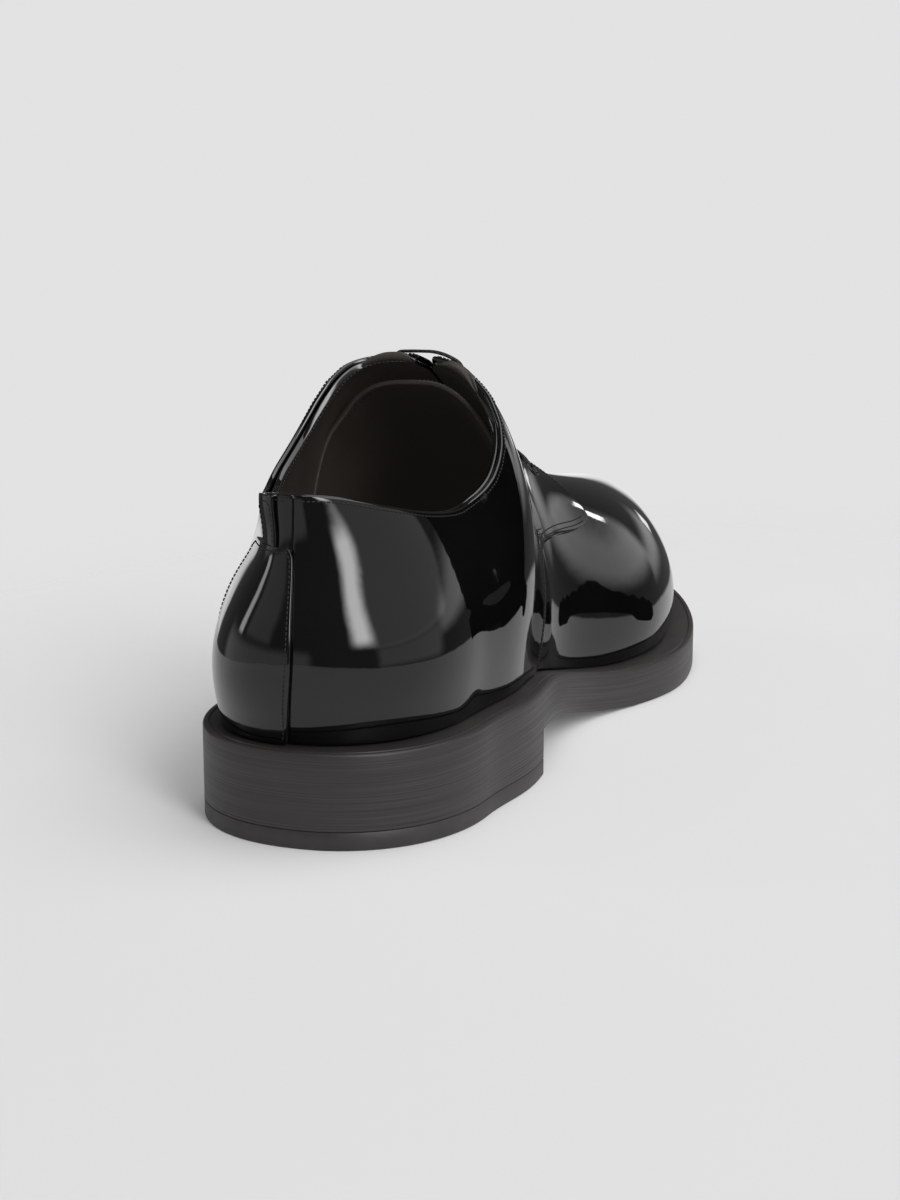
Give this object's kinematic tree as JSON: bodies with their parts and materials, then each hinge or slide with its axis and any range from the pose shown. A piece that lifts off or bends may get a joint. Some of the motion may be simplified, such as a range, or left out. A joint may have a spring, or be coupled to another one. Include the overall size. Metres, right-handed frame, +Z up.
{
  "type": "tuxedo shoe",
  "caption": "Left laced dress shoe of the derby cut in black patent leather, with a plain rounded toe, a low stacked heel and a wide flat sole edge.",
  "frame": {"origin": "on the floor under the middle of the shoe's length and width", "axes": "+Y towards the toe, +X towards the inner (medial) side of the foot, +Z up"},
  "size_m": [0.1063, 0.3006, 0.1216],
  "materials": {
    "patent": "black patent, mirror gloss",
    "lining": "dark leather lining, matt",
    "sole_edge": "dark edge with fine brushed lines, satin",
    "heel_rubber": "dark rubber, satin",
    "lace": "black woven lace, matt"
  },
  "bodies": {
    "root": {"outsole": "sole_edge", "heel_block": "sole_edge", "heel_lift": "heel_rubber", "insole": "lining", "upper": "patent", "quarter_medial": "patent", "quarter_lateral": "patent", "heel_patch": "patent", "heel_tab": "patent", "tongue": "lining", "lace_bar_1": "lace", "lace_bar_2": "lace", "lace_bar_3": "lace", "lace_bar_4": "lace", "lace_bar_5": "lace"}
  },
  "joints": []
}
